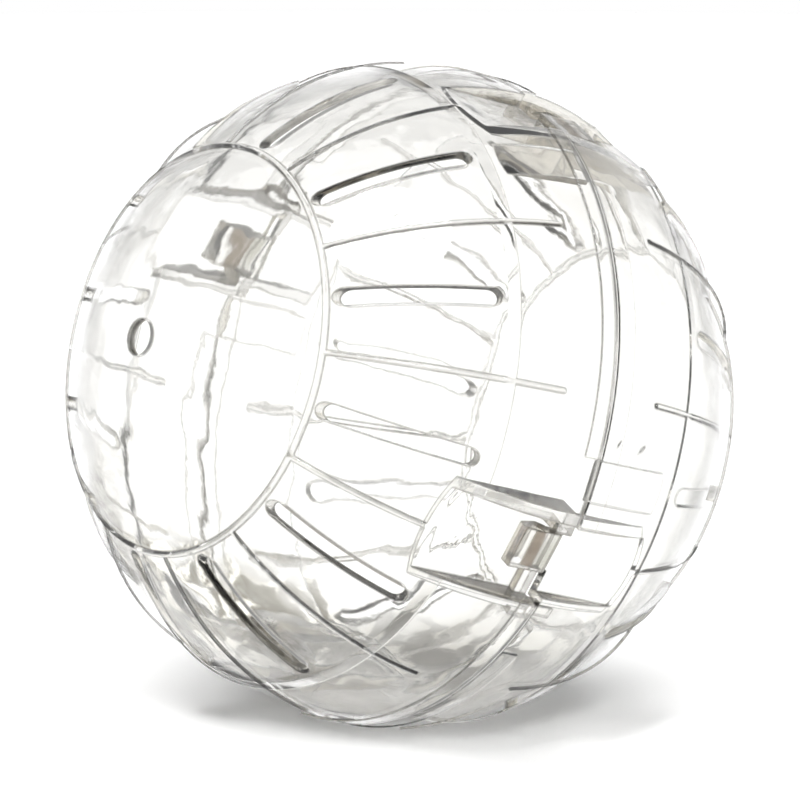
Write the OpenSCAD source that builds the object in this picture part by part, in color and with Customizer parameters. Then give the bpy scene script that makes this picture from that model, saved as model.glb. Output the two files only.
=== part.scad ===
// Hamster ball in clear plastic: two alike half shells that hook together at the middle.
// They differ only in the hole at the front shell's pole.
// The ball's centre is the origin. The pole axis is Y and the front shell's pole is at -Y.
// A shell is drawn with its rim at z = 0 and its pole at +Z, then turned into place.
// Each shell has two sockets and two hooks in turn, so a shell fits a second one like it.

/* [Ball] */
// Outer diameter of the closed ball
ball_d = 120; // [105:1:150]
// Thickness of the shell wall
wall = 1.6; // [1.2:0.1:2]
// Gap between the two rims when the ball is closed
seam_gap = 0.3; // [0.2:0.05:0.6]
// Diameter of the hole at the front shell's pole
pole_hole_d = 6.5; // [4:0.5:10]
// Degrees by which the closed shells stand turned past the place where their ribs line up
close_turn = 1; // [0:0.5:2]

/* [Ribs and rings] */
// Width of the round bead that forms the ribs
rib_w = 0.9; // [0.6:0.1:1.4]
// Height above the rim at which the ribs end
rib_end_h = 10.7; // [6:0.1:14]
// Width of the bead round the pole cap
cap_ring_w = 1.1; // [0.7:0.1:1.6]
// Diameter of the ring round the pole cap
cap_ring_d = 73.7; // [60:0.1:80]
// Height above the rim of the step that edges the plain belt
belt_h = 19.8; // [17:0.1:23]
// How far that step stands out
belt_step = 0.3; // [0.2:0.1:0.9]
// How far the step runs out towards the pole
belt_fade = 3; // [2:0.1:4]

/* [Air slots] */
// Width of an air slot
slot_w = 3.1; // [2.5:0.1:4.5]
// Plain wall between a slot and the cap's ring, seen along the pole axis
slot_cap_land = 0.8; // [0.7:0.1:2]
// Plain wall between a slot and the belt's step, measured along the pole axis
slot_belt_land = 3; // [2:0.1:5]

/* [Sockets] */
// Width of a socket, which takes the other shell's hook
socket_w = 16.4; // [15.8:0.1:18]
// Depth of a socket at the rim
socket_depth = 6.3; // [6:0.1:7]
// Radius of a socket's inner corners
socket_corner = 1.5; // [1:0.1:3.5]
// Height of the catch ledge on the socket's floor
ledge_rise = 1.6; // [1:0.1:2]
// Length of the catch ledge along the pole axis
ledge_l = 2.9; // [2:0.1:3.2]
// Length of the stop block beside the hook
stop_l = 3.6; // [2:0.1:5]

/* [Hooks] */
// Width of the pocket that a hook grows from
pocket_w = 14.2; // [13.6:0.1:15]
// Shift of a pocket from the middle of the socket that its hook goes into
pocket_shift = 0.7; // [0:0.1:1]
// Depth of that pocket at the rim
pocket_depth = 3; // [2.4:0.1:3.6]
// Width of a hook
hook_w = 7.9; // [6:0.1:9]
// Shift of a hook from the middle of its socket
hook_shift = 1.7; // [0.6:0.1:1.9]
// How far a hook reaches past the rim
hook_reach = 9.6; // [8:0.1:11]
// Where the thick part of a hook starts past the rim
hook_shoulder = 1.6; // [1:0.1:2.4]
// Height of the barb on the hook's inner side
barb_rise = 1.2; // [0.6:0.1:1.4]
// Where the catch face of the barb starts past the rim
barb_start = 3.6; // [3.2:0.1:4.4]
// Where the barb is at its full height, which slopes off from there to the tip
barb_full = 5.7; // [5:0.1:7]

/* [Rim] */
// Height of the raised band that edges the seam
band_h = 3.6; // [3:0.1:6]
// How far that band stands out
band_rise = 0.2; // [0.1:0.05:0.3]
// Width of the pad inside the wall beside each pocket
pad_w = 7.4; // [6:0.1:9]
// Thickness of that pad at the rim
pad_rise = 1.2; // [0.8:0.1:1.6]
// Height above the seam at which the pad runs out
pad_h = 17.4; // [14:0.1:20]
// Turn from a pocket to the pad beside it
pad_offset = 16; // [15.75:0.25:17.5]
// Width of the guide tab beside a socket
guide_w = 2.2; // [1.6:0.1:3]
// How far a guide tab reaches past the rim
guide_reach = 5; // [3:0.1:6]

/* [Hidden] */
$fn = 96;
sphere_fn = 180;
bead_fn = 24;
half_turn = 180;
quarter_turn = half_turn / 2;

ball_r = ball_d / 2;
inner_r = ball_r - wall;
// Degrees in a radian, which turn an arc length over its radius into an angle
radian = half_turn / PI;
cap_ring_r = cap_ring_d / 2;
cap_ring_h = sqrt(ball_r * ball_r - cap_ring_r * cap_ring_r);
belt_angle = asin(belt_h / ball_r);
belt_fade_angle = belt_angle + belt_fade / ball_r * radian;
rib_low_angle = asin(rib_end_h / ball_r);
rib_high_angle = asin(cap_ring_h / ball_r);

// Ribs and slots share the turn, and a lock stands on a rib
rib_count = 12;
pitch = 2 * half_turn / rib_count;
socket_turn = -pitch / 2;
mirror_turn = 2 * pitch + close_turn;
pocket_turn = mirror_turn - socket_turn;
pad_turn = pocket_turn - pad_offset;
copies = 2;

// Clearances, and the overrun that every cut shares
fit_gap = 0.4;
over = 1;
// How deep each kind of root is sunk into the wall, none of them alike
recess_root = wall * 3 / 4;
band_root = wall / 2;
guide_root_in = wall / 3;

rim_z = seam_gap / 2;
socket_floor = ball_r - socket_depth;
pocket_floor = ball_r - pocket_depth;
hook_outer = inner_r;
gap_angle = fit_gap / inner_r * radian;
band_start = mirror_turn - pad_turn + asin(pad_w / 2 / inner_r) + gap_angle;
guide_outer = sqrt(inner_r * inner_r - guide_reach * guide_reach) - fit_gap;
guide_inner = guide_outer - wall;
guide_side = pocket_w / 2 - pocket_shift + wall + fit_gap + guide_w / 2;
guide_turn = socket_turn - asin(guide_side / guide_inner);

// A box with one face at a distance from the pole axis, open outwards and below the rim
module outward_box(floor_r, width, top) {
    translate([floor_r, -width / 2, -over]) cube([ball_r - floor_r + over, width, top + over]);
}

// The same box with its two corners towards the pole rounded
module outward_recess(floor_r, width, corner) {
    top = sqrt(ball_r * ball_r - floor_r * floor_r) + over;
    outward_box(floor_r, width, top - corner);
    outward_box(floor_r, width - 2 * corner, top);
    for (side = [-1, 1])
        translate([floor_r, side * (width / 2 - corner), top - corner])
            rotate([0, quarter_turn, 0]) cylinder(r = corner, h = ball_r - floor_r + over);
}

// One rib: a round bead along a meridian, with a round end above the rim
module rib() {
    rotate([quarter_turn, 0, 0]) rotate([0, 0, rib_low_angle])
        rotate_extrude(angle = rib_high_angle - rib_low_angle)
            translate([ball_r, 0]) circle(d = rib_w, $fn = bead_fn);
    rotate([0, -rib_low_angle, 0]) translate([ball_r, 0, 0]) sphere(d = rib_w, $fn = bead_fn);
}

module cap_ring() {
    rotate_extrude() translate([cap_ring_r, cap_ring_h]) circle(d = cap_ring_w, $fn = bead_fn);
}

// The step at the edge of the plain belt, sharp below and fading out towards the pole
module belt_ring() {
    low = ball_r - wall / 2;
    high = ball_r + belt_step;
    fade = ball_r - belt_step / 4;
    rotate_extrude() polygon([
        [low * cos(belt_angle), low * sin(belt_angle)],
        [high * cos(belt_angle), high * sin(belt_angle)],
        [fade * cos(belt_fade_angle), fade * sin(belt_fade_angle)],
        [low * cos(belt_fade_angle), low * sin(belt_fade_angle)],
    ]);
}

// An air slot, whose end at the cap runs along the pole axis and whose other end is square to it
module slot() {
    cap_end = cap_ring_r + slot_cap_land + slot_w / 2;
    belt_end = belt_h + slot_belt_land + slot_w / 2;
    reach = ball_r + over;
    translate([cap_end, -slot_w / 2, belt_end]) cube([reach - cap_end, slot_w, reach - belt_end]);
    translate([cap_end, 0, belt_end]) {
        cylinder(d = slot_w, h = reach - belt_end);
        rotate([0, quarter_turn, 0]) cylinder(d = slot_w, h = reach - cap_end);
    }
}

// The raised band that edges the seam, between two turns
module rim_band(from, to) {
    rotate([0, 0, from]) rotate_extrude(angle = to - from)
        translate([ball_r - band_root, -over]) square([band_root + band_rise, band_h + rim_z + over]);
}

// The pad inside the wall, which thins out towards the pole
module pad() {
    rim_r = inner_r - pad_rise;
    pole_r = sqrt(inner_r * inner_r - pad_h * pad_h);
    slope = (rim_r - pole_r) / pad_h;
    translate([0, pad_w / 2, 0]) rotate([quarter_turn, 0, 0]) linear_extrude(pad_w) polygon([
        [rim_r + slope * over, -over],
        [ball_r, -over],
        [ball_r, pad_h + over],
        [pole_r - slope * over, pad_h + over],
    ]);
}

// What stands in a socket: the catch ledge on the free side and the stop block beside the hook
module socket_blocks() {
    side = socket_w / 2 + wall / 2;
    free_edge = hook_shift - hook_w / 2 - fit_gap;
    stop_edge = hook_shift + hook_w / 2 + fit_gap;
    translate([socket_floor - wall / 2, -side, -over])
        cube([ledge_rise + wall / 2, free_edge + side, ledge_l + rim_z + over]);
    translate([socket_floor - wall / 2, stop_edge, -over])
        cube([socket_depth + wall / 2, side - stop_edge, stop_l + rim_z + over]);
}

// The hook, which reaches past the rim into the other shell's socket
module hook() {
    arm_inner = pocket_floor - wall;
    translate([0, -hook_shift + hook_w / 2, 0]) rotate([quarter_turn, 0, 0]) linear_extrude(hook_w) polygon([
        [arm_inner + fit_gap, rim_z + wall],
        [pocket_floor, rim_z + wall],
        [pocket_floor, -hook_shoulder],
        [hook_outer, -hook_shoulder],
        [hook_outer, -hook_reach],
        [arm_inner + fit_gap, -hook_reach],
        [arm_inner + fit_gap - barb_rise, -barb_full],
        [arm_inner + fit_gap, -barb_start],
    ]);
}

// The guide tab beside a socket, which reaches past the rim behind the other shell's wall
module guide() {
    translate([guide_inner, -guide_w / 2, -guide_reach])
        cube([wall, guide_w, guide_reach + rim_z + wall]);
}

// The block on which a guide tab stands
module guide_root() {
    depth = wall + 2 * fit_gap + guide_root_in;
    width = guide_w + 2 * fit_gap;
    translate([guide_inner - fit_gap, -width / 2, -over / 2])
        cube([depth, width, over / 2 + rim_z + band_h + fit_gap]);
}

module twice() {
    for (i = [0 : copies - 1]) rotate([0, 0, i * half_turn]) children();
}

module at_pocket() {
    rotate([0, 0, pocket_turn]) translate([0, -pocket_shift, 0]) children();
}

module round_ribs() {
    for (i = [0 : rib_count - 1]) rotate([0, 0, i * pitch + pitch / 2]) rib();
}

// All that stands in from the wall, which still runs on below the rim
module inner_walls() {
    intersection() {
        sphere(r = inner_r + recess_root, $fn = sphere_fn);
        twice() {
            rotate([0, 0, socket_turn]) outward_box(socket_floor - wall, socket_w + 2 * wall, ball_r);
            at_pocket() outward_box(pocket_floor - wall, pocket_w + 2 * wall, ball_r);
            rotate([0, 0, pad_turn]) pad();
        }
    }
    twice() rotate([0, 0, guide_turn]) guide_root();
}

module recesses() {
    twice() {
        rotate([0, 0, socket_turn]) outward_recess(socket_floor, socket_w, socket_corner);
        at_pocket() outward_recess(pocket_floor, pocket_w, socket_corner);
    }
    for (i = [0 : rib_count - 1]) rotate([0, 0, i * pitch]) slot();
}

// The shell above its rim: one plane cuts everything off there
module shell_body() {
    intersection() {
        union() {
            difference() {
                union() {
                    difference() {
                        union() {
                            sphere(r = ball_r, $fn = sphere_fn);
                            cap_ring();
                            belt_ring();
                            round_ribs();
                            twice() {
                                rim_band(band_start, pocket_turn);
                                rim_band(band_start + quarter_turn, socket_turn + half_turn);
                            }
                        }
                        sphere(r = inner_r, $fn = sphere_fn);
                    }
                    inner_walls();
                }
                recesses();
            }
            intersection() {
                sphere(r = inner_r + band_root, $fn = sphere_fn);
                twice() rotate([0, 0, socket_turn]) socket_blocks();
            }
        }
        translate([-ball_d, -ball_d, rim_z]) cube([2 * ball_d, 2 * ball_d, ball_d]);
    }
}

module shell() {
    shell_body();
    twice() {
        rotate([0, 0, pocket_turn]) hook();
        rotate([0, 0, guide_turn]) guide();
    }
}

module front_shell() {
    color([0.86, 0.86, 0.84]) rotate([quarter_turn, 0, 0]) difference() {
        shell();
        cylinder(d = pole_hole_d, h = ball_d);
    }
}

module rear_shell() {
    color([0.82, 0.82, 0.8]) rotate([quarter_turn, 0, 0]) rotate([half_turn, 0, mirror_turn]) shell();
}

front_shell();
rear_shell();
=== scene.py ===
import math

import bmesh
import bpy
from mathutils import Matrix, Vector


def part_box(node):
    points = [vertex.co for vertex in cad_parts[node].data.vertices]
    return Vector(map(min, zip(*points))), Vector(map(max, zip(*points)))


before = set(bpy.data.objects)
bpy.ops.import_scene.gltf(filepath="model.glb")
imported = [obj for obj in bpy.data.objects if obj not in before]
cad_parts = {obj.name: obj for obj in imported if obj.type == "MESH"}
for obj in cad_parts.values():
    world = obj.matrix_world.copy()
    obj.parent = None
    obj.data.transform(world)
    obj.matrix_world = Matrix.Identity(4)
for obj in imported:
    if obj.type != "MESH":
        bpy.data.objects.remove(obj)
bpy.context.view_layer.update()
print("frame loaded:", ", ".join(sorted(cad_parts)))

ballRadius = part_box("rear_shell")[1].y  # the rear shell ends at its pole
scene = bpy.context.scene
white = (1.0, 1.0, 1.0, 1.0)


class Wire:  # one output socket, so that shader maths reads as an expression
    def __init__(self, shader, socket):
        self.shader, self.socket = shader, socket

    def calc(self, operation, *values):
        return self.shader.node("ShaderNodeMath", {"operation": operation}, dict(enumerate(values)))

    def __add__(self, other):
        return self.calc("ADD", self, other)

    def __radd__(self, other):
        return self.calc("ADD", other, self)

    def __sub__(self, other):
        return self.calc("SUBTRACT", self, other)

    def __rsub__(self, other):
        return self.calc("SUBTRACT", other, self)

    def __mul__(self, other):
        return self.calc("MULTIPLY", self, other)

    def __rmul__(self, other):
        return self.calc("MULTIPLY", other, self)

    def __truediv__(self, other):
        return self.calc("DIVIDE", self, other)

    def __rtruediv__(self, other):
        return self.calc("DIVIDE", other, self)

    def __pow__(self, other):
        return self.calc("POWER", self, other)

    def __rpow__(self, other):
        return self.calc("POWER", other, self)

    def absolute(self):
        return self.calc("ABSOLUTE", self)

    def larger(self, other):
        return self.calc("MAXIMUM", self, other)

    def ramp(self, low, high, start=0.0, end=1.0):  # a smooth step from start to end
        return self.shader.node("ShaderNodeMapRange", {"interpolation_type": "SMOOTHSTEP"}, {
            "Value": self, "From Min": low, "From Max": high, "To Min": start, "To Max": end})

    def falling(self, low, high):  # the same from 1 to 0
        return self.ramp(low, high, 1.0, 0.0)


class Shader:  # one node tree, with the calls that add nodes to it
    def __init__(self, owner):
        owner.use_nodes = True
        self.tree = owner.node_tree
        self.tree.nodes.clear()

    def feed(self, socket, value):
        if isinstance(value, Wire):
            self.tree.links.new(value.socket, socket)
        else:
            socket.default_value = value

    def node(self, kind, settings=None, inputs=None, output=0):
        made = self.tree.nodes.new(kind)
        for name, value in (settings or {}).items():
            setattr(made, name, value)
        for name, value in (inputs or {}).items():
            self.feed(made.inputs[name], value)
        return Wire(self, made.outputs[output]) if made.outputs else made

    def mixColour(self, factor, first, second):
        mixer = self.node("ShaderNodeMix", {"data_type": "RGBA"}).socket.node
        for name, value in {"Factor": factor, "A": first, "B": second}.items():
            self.feed([s for s in mixer.inputs if s.name == name and s.enabled][0], value)
        return Wire(self, [s for s in mixer.outputs if s.enabled][0])

    def measure(self, operation, *vectors):  # a number from one or two vectors
        return self.node("ShaderNodeVectorMath", {"operation": operation}, dict(enumerate(vectors)), "Value")

    def ray(self, name):
        return self.node("ShaderNodeLightPath", output=name)

    def seenRay(self):  # 1 for camera, mirror and see-through rays
        camera, mirror, bent = [self.ray(f"Is {kind} Ray") for kind in ("Camera", "Glossy", "Transmission")]
        return camera.larger(mirror).larger(bent)


# Camera, at the photograph's place
view = {
    "azimuth": 51.72, "elevation": 6.37, "roll": 17.70,  # degrees in the shared frame
    "distanceInRadii": 23.45, "lens": 349.7, "sensor": 36.0, "reach": 100.0,
    "frameWidth": 800, "dropPixels": 4.4,  # the ball's centre stands this far above the middle
    "floorTilt": 9.0,  # degrees by which the camera looks down on the floor
}


def addCamera(values):
    azimuth, elevation = math.radians(values["azimuth"]), math.radians(values["elevation"])
    back = Vector((math.cos(elevation) * math.sin(azimuth), -math.cos(elevation) * math.cos(azimuth),
                   math.sin(elevation)))
    right = Vector((0, 0, 1)).cross(back).normalized()
    level = back.cross(right)
    turn = Matrix.Rotation(math.radians(values["roll"]), 3, back)
    right, up = turn @ right, turn @ level
    data = bpy.data.cameras.new("camera")
    data.lens, data.sensor_width, data.clip_end = values["lens"], values["sensor"], values["reach"]
    data.shift_y = -values["dropPixels"] / values["frameWidth"]
    camera = bpy.data.objects.new("camera", data)
    camera.matrix_world = Matrix((right, up, back)).transposed().to_4x4()
    camera.location = back * values["distanceInRadii"] * ballRadius
    scene.collection.objects.link(camera)
    scene.camera = camera
    return right, up, back


cameraRight, cameraUp, cameraBack = addCamera(view)
print("camera placed")

# The way up from the floor, which lies tilted as the ball does in the photograph
floorTilt = math.radians(view["floorTilt"])
floorUp = (cameraUp * math.cos(floorTilt) + cameraBack * math.sin(floorTilt)).normalized()
floorBack = floorUp.cross(cameraRight)  # along the floor, away from the camera

# Clear moulded plastic. Lengths are in metres, depths are shares of the ball's radius, and turns are
# 1 less a cosine.
plastic = {
    "ior": 1.57, "roughness": 0.0, "mirrorLevel": 0.3,
    "clear": (0.985, 0.982, 0.968, 1.0),
    "creaseShade": (0.15, 0.14, 0.115, 1.0), "creaseTurns": (0.0003, 0.014),  # painted shade along every edge and step
    "beadCrease": 0.12, "beadDepths": (1.0005, 1.002),  # how much of it is left on the ribs and the ring
    "shallowSideShade": (0.75, 0.72, 0.63, 1.0), "sideTurns": (0.25, 0.7),  # painted shade on the sides of slots and holes
    "sideDepths": (0.997, 0.999),  # which end just below the outer face
    "thick": (0.46, 0.42, 0.34, 1.0), "thickDepths": (0.955, 0.975),  # darker painted shade on sides that lie deeper
    "upwardShade": (0.12, 0.11, 0.095, 1.0), "upperCosines": (0.2, 0.6),  # darkest painted shade on those of them that face up
    "armShade": (0.3, 0.29, 0.235, 1.0), "hookDepths": (0.93, 0.94),  # painted shade on a hook past the seam
    "hook": (0.07, 0.045, 0.025, 1.0), "hookTurns": (0.05, 0.09),  # and darker painted shade on its sloping barb
    "outlineFade": 0.98, "outlineRange": (0.62, 0.88),  # the wall thins out of sight at the outline
    "sideClear": 0.16,  # what is seen straight through the sides of slots and holes
    "shade": (0.0, 0.0, 0.0, 1.0), "shadeRange": (0.2, 0.45),  # what a wall takes from the floor's light
    "round": 0.0005, "roundSamples": 4,  # the mould's rounded edges
    "waveSize": 0.009, "waveHeight": 0.00014, "waveDetail": 1.0,  # slow waves inside the wall
    "rippleSize": 0.0026, "rippleHeight": 0.00001, "rippleDetail": 2.0,
    "waveDepths": (0.978, 0.995),
}


def bumpHeight(shader, place, name, values):
    noise = shader.node("ShaderNodeTexNoise", inputs={
        "Vector": place, "Scale": 1 / values[name + "Size"], "Detail": values[name + "Detail"]})
    return noise * values[name + "Height"]


def plasticTintAndShade(shader, place, depth, rounded, side, values):  # gives the plastic's own tint with painted shade along edges, on slot sides and on the hook, and the mask of the sides
    outwards = shader.node("ShaderNodeVectorMath", {"operation": "NORMALIZE"}, {0: place})
    turned = 1 - shader.measure("DOT_PRODUCT", rounded, outwards).absolute()
    flat = shader.node("ShaderNodeNewGeometry", output="Normal")
    bend = 1 - shader.measure("DOT_PRODUCT", rounded, flat).absolute()
    past = shader.measure("DOT_PRODUCT", place, (0, side, 0)).ramp(0.0, values["round"])
    # painted shade on a hook past the seam, darker on its sloping barb
    hookShadeColour = shader.mixColour(turned.ramp(*values["hookTurns"]), values["armShade"], values["hook"])
    colour = shader.mixColour(past * depth.falling(*values["hookDepths"]), values["clear"], hookShadeColour)
    # painted shade on the sides of slots and holes, darker on deeper sides and darkest on those that face up
    thick = depth.falling(*values["thickDepths"])
    upwardShade = shader.measure("DOT_PRODUCT", rounded, floorUp).ramp(*values["upperCosines"])
    sideShadeColour = shader.mixColour(thick, values["shallowSideShade"], values["thick"])
    sideShadeColour = shader.mixColour(upwardShade * thick, sideShadeColour, values["upwardShade"])
    sides = turned.ramp(*values["sideTurns"]) * depth.falling(*values["sideDepths"])
    colour = shader.mixColour(sides, colour, sideShadeColour)
    # painted shade along every edge and step, fainter on the ribs and the ring
    onWall = depth.ramp(*values["beadDepths"], 1.0, values["beadCrease"])
    return shader.mixColour(bend.ramp(*values["creaseTurns"]) * onWall, colour, values["creaseShade"]), sides


def plasticMaterial(name, side, values):  # side is the way to the other shell along the pole axis
    material = bpy.data.materials.new(name)
    shader = Shader(material)
    rounded = shader.node("ShaderNodeBevel", {"samples": values["roundSamples"]}, {"Radius": values["round"]})
    place = shader.node("ShaderNodeTexCoord", output="Object")
    depth = shader.measure("LENGTH", place) / ballRadius
    facing = shader.node("ShaderNodeLayerWeight", inputs={"Blend": 0.5}, output="Facing")
    colour, sides = plasticTintAndShade(shader, place, depth, rounded, side, values)
    height = bumpHeight(shader, place, "wave", values) + bumpHeight(shader, place, "ripple", values)
    normal = shader.node("ShaderNodeBump", inputs={
        "Strength": 1.0, "Distance": 1.0, "Height": height * depth.falling(*values["waveDepths"]),
        "Normal": rounded})
    fade = facing.ramp(*values["outlineRange"], 0.0, values["outlineFade"])
    surface = shader.node("ShaderNodeBsdfPrincipled", inputs={
        "Base Color": colour, "Roughness": values["roughness"], "IOR": values["ior"],
        "Specular IOR Level": values["mirrorLevel"], "Transmission Weight": 1.0, "Normal": normal,
        "Alpha": 1 - fade.larger(sides * values["sideClear"])})
    through = shader.mixColour(facing.ramp(*values["shadeRange"]), values["shade"], white)
    passed = shader.node("ShaderNodeBsdfTransparent", inputs={"Color": through})
    both = shader.node("ShaderNodeMixShader", inputs={0: shader.ray("Is Shadow Ray"), 1: surface, 2: passed})
    shader.node("ShaderNodeOutputMaterial", inputs={"Surface": both})
    return material


for name, side in (("front_shell", 1), ("rear_shell", -1)):
    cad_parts[name].material_slots[0].material = plasticMaterial(name + "_plastic", side, plastic)
print("plastic assigned")

# White floor and the studio round it
studio = {
    "floorRadius": 1.2, "floorSides": 96, "floorColour": (0.95, 0.95, 0.95, 1.0), "floorGlow": 0.04,
    # A patchy painted shade and painted caustic light on the floor behind the ball, seen only through it.
    # Distances are in ball radii.
    "nearRange": (0.5, 1.8), "behindRange": (0.2, 1.0),
    "leftSlope": 0.33, "leftRange": (0.0, 0.45), "leftReach": (2.1, 2.9),  # it runs further out on the left
    # painted shade and painted caustic light of the patches
    "underPaintedShade": (0.17, 0.155, 0.11, 1.0), "underPaintedLight": (0.9, 0.88, 0.8, 1.0),
    "patchSize": 0.14, "patchStretch": 0.3, "patchDetail": 1.0, "patchTwist": 0.6, "patchRange": (0.47, 0.55),
    "gathered": 0.25,  # light that the ball gathers on the pale patches
    "ambient": 0.08, "throughBall": 0.08,  # the light that the floor gets past the ball and through it
    # What the plastic shows where light is bent steeply up or back
    "dark": (0.3, 0.27, 0.215, 1.0), "pale": (0.75, 0.74, 0.72, 1.0),
    "cloudScale": 2.5, "cloudDetail": 1.0, "cloudRange": (0.5, 0.72),
    "steepRange": (0.45, 0.8), "bounceRange": (0.5, 2.0),
    "sunLevel": 1.25, "sunSoftness": 36.0,
    "sunFrom": (-0.05, 1.0, 0.62),  # right, up and towards the camera
}


def floorMaterial(values):
    material = bpy.data.materials.new("whiteFloor")
    shader = Shader(material)
    place = shader.node("ShaderNodeNewGeometry", output="Position")
    across, beyond = [
        shader.measure("DOT_PRODUCT", place, way) / ballRadius for way in (cameraRight, floorBack)]
    streaks = shader.node("ShaderNodeCombineXYZ", inputs={"X": across, "Y": beyond * values["patchStretch"]})
    patches = shader.node("ShaderNodeTexNoise", inputs={
        "Vector": streaks, "Scale": 1 / values["patchSize"], "Detail": values["patchDetail"],
        "Distortion": values["patchTwist"]})
    pale = patches.ramp(*values["patchRange"])
    near = ((across * across + beyond * beyond) ** 0.5).falling(*values["nearRange"])
    left = (across + beyond * values["leftSlope"]).falling(*values["leftRange"])
    left = left * beyond.falling(*values["leftReach"])
    # the zone under and behind the ball where painted shade and painted caustic light lie, for rays through
    # the ball
    paintedUnderZone = near.larger(left) * beyond.ramp(*values["behindRange"]) * shader.ray("Is Transmission Ray")
    underShadeAndLight = shader.mixColour(pale, values["underPaintedShade"], values["underPaintedLight"])
    matt = shader.node("ShaderNodeBsdfDiffuse", inputs={
        "Color": shader.mixColour(paintedUnderZone, values["floorColour"], underShadeAndLight)})
    # the floor's even glow, plus painted caustic light glowing on the pale patches
    level = shader.seenRay() * values["floorGlow"] + paintedUnderZone * pale * values["gathered"]
    glow = shader.node("ShaderNodeEmission", inputs={"Color": white, "Strength": level})
    lit = shader.node("ShaderNodeAddShader", inputs={0: matt, 1: glow})
    below = shader.node("ShaderNodeNewGeometry", output="Backfacing")
    unseen = shader.node("ShaderNodeBsdfTransparent")
    both = shader.node("ShaderNodeMixShader", inputs={0: below, 1: lit, 2: unseen})
    shader.node("ShaderNodeOutputMaterial", inputs={"Surface": both})
    return material


def addFloor(values):
    mesh = bpy.data.meshes.new("floor")
    build = bmesh.new()
    bmesh.ops.create_circle(build, cap_ends=True, radius=values["floorRadius"], segments=values["floorSides"])
    build.to_mesh(mesh)
    build.free()
    floor = bpy.data.objects.new("floor", mesh)
    turn = floorUp.to_track_quat("Z", "Y").to_matrix().to_4x4()
    floor.matrix_world = Matrix.Translation(-floorUp * ballRadius) @ turn
    mesh.materials.append(floorMaterial(values))
    scene.collection.objects.link(floor)


def addWorld(values):
    world = bpy.data.worlds.new("studio")
    scene.world = world
    shader = Shader(world)
    bent = shader.ray("Is Transmission Ray")
    direction = shader.node("ShaderNodeTexCoord", output="Generated")
    height = shader.node("ShaderNodeSeparateXYZ", inputs={0: direction}, output="Z")
    clouds = shader.node("ShaderNodeTexNoise", inputs={
        "Vector": direction, "Scale": values["cloudScale"], "Detail": values["cloudDetail"]})
    dim = shader.mixColour(clouds.ramp(*values["cloudRange"]), values["dark"], values["pale"])
    bounced = bent * shader.ray("Glossy Depth").ramp(*values["bounceRange"])
    steep = bent * height.ramp(*values["steepRange"])
    seen = shader.mixColour(bounced.larger(steep), white, dim)
    onFloor = shader.ray("Diffuse Depth").ramp(0.0, 1.0)
    level = (1 - bent) * values["ambient"] + bent * values["throughBall"]
    look = shader.node("ShaderNodeBackground", inputs={"Color": seen, "Strength": 1.0})
    light = shader.node("ShaderNodeBackground", inputs={"Color": white, "Strength": level})
    direct = shader.seenRay() * (1 - onFloor)
    glow = shader.node("ShaderNodeMixShader", inputs={0: direct, 1: light, 2: look})
    shader.node("ShaderNodeOutputWorld", inputs={"Surface": glow})


def addSun(values):
    data = bpy.data.lights.new("sun", "SUN")
    data.energy = values["sunLevel"] * math.pi
    data.angle = math.radians(values["sunSoftness"])
    sun = bpy.data.objects.new("sun", data)
    across, above, towards = values["sunFrom"]
    source = (cameraRight * across + cameraUp * above + cameraBack * towards).normalized()
    sun.matrix_world = source.to_track_quat("Z", "Y").to_matrix().to_4x4()
    sun.visible_transmission = False  # its shadow rays already pass the plastic on their way to the floor
    scene.collection.objects.link(sun)


addFloor(studio)
addWorld(studio)
addSun(studio)
scene.view_settings.view_transform = "Standard"
print("studio built")
